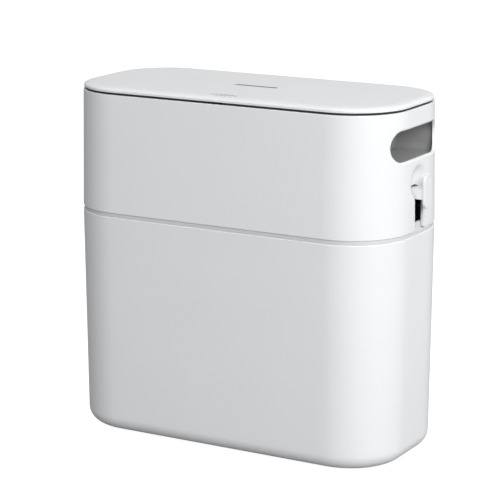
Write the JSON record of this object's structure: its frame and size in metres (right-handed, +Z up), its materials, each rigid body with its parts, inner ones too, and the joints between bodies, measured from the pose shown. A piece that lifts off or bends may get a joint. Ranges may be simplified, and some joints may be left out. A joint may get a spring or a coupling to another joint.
{
  "type": "hand-operated trash compactor",
  "caption": "Narrow kitchen waste bin with a lift-off upper housing, a hinged lid, grip pockets, and end knobs that swing two press flaps down over the waste.",
  "frame": {"origin": "on the floor, under the middle of the bin", "axes": "+Z up, front of the bin towards -Y, the two knobs at the ends of X"},
  "size_m": [0.372, 0.165, 0.3507],
  "materials": {
    "white_plastic": "satin",
    "lid_plastic": "satin",
    "grey_plastic": "satin",
    "pocket_plastic": "satin",
    "dark_plastic": "satin",
    "flap_plastic": "satin",
    "gear_plastic": "satin",
    "soft_rubber": "matte",
    "gasket_rubber": "matte",
    "steel": "satin"
  },
  "bodies": {
    "bucket": {"bucket": "white_plastic", "rubber_feet": "soft_rubber"},
    "bag_ring": {"bag_ring": "grey_plastic"},
    "housing": {"upper_housing": "white_plastic", "inner_frame": "dark_plastic", "lid_gasket": "gasket_rubber", "handle_pocket_left": "pocket_plastic", "handle_pocket_right": "pocket_plastic", "latch_body": "dark_plastic", "latch_spring": "steel", "hinge_brackets": "steel", "hinge_pins": "steel", "lid_springs": "steel", "shaft_bushes": "gear_plastic", "guide_rods": "steel", "return_springs_left": "steel", "return_springs_right": "steel", "frame_screws": "steel", "pocket_screws": "steel", "latch_screws": "steel", "bracket_screws": "steel"},
    "lid": {"lid_panel": "lid_plastic", "lid_liner": "grey_plastic", "lid_striker": "dark_plastic", "liner_screws": "steel"},
    "latch_plunger": {"latch_plunger": "gear_plastic"},
    "press_right": {"carriage_right": "dark_plastic", "knob_right": "white_plastic", "knob_screw_right": "steel"},
    "press_left": {"carriage_left": "dark_plastic", "knob_left": "white_plastic", "knob_screw_left": "steel"},
    "front_flap": {"front_press_flap": "flap_plastic", "front_shaft": "steel", "front_pinion_left": "gear_plastic", "front_pinion_right": "gear_plastic", "front_shaft_clips": "steel"},
    "rear_flap": {"rear_press_flap": "flap_plastic", "rear_shaft": "steel", "rear_pinion_left": "gear_plastic", "rear_pinion_right": "gear_plastic", "rear_shaft_clips": "steel"}
  },
  "joints": [
    {"name": "ring_lift", "type": "slide", "parent": "bucket", "child": "bag_ring", "axis": [0, 0, 1], "range_m": [0, 0.12]},
    {"name": "housing_lift", "type": "slide", "parent": "bag_ring", "child": "housing", "axis": [0, 0, 1], "range_m": [0, 0.15]},
    {"name": "lid_hinge", "type": "hinge", "parent": "housing", "child": "lid", "pos_m": [0, 0.079, 0.3455], "axis": [-1, 0, 0], "range_deg": [0, 82]},
    {"name": "latch_slide", "type": "slide", "parent": "housing", "child": "latch_plunger", "axis": [0, 0, -1], "range_m": [0, 0.0025], "stiffness_N_per_m": 300, "springref_m": -0.002, "deforming": ["latch_spring"]},
    {"name": "press_slide_right", "type": "slide", "parent": "housing", "child": "press_right", "axis": [0, 0, -1], "range_m": [0, 0.022], "stiffness_N_per_m": 400, "springref_m": -0.01, "deforming": ["return_springs_right"]},
    {"name": "press_slide_left", "type": "slide", "parent": "housing", "child": "press_left", "axis": [0, 0, -1], "range_m": [0, 0.022], "deforming": ["return_springs_left"]},
    {"name": "front_flap_swing", "type": "hinge", "parent": "housing", "child": "front_flap", "pos_m": [0, -0.056, 0.2476], "axis": [-1, 0, 0], "range_deg": [0, 90.5]},
    {"name": "rear_flap_swing", "type": "hinge", "parent": "housing", "child": "rear_flap", "pos_m": [0, 0.056, 0.2476], "axis": [1, 0, 0], "range_deg": [0, 90.5]}
  ],
  "couplings": [
    {"joint": "press_slide_left", "follows": "press_slide_right", "ratio": 1},
    {"joint": "front_flap_swing", "follows": "press_slide_right", "rad_per_m": 71.429},
    {"joint": "rear_flap_swing", "follows": "press_slide_right", "rad_per_m": 71.429}
  ]
}
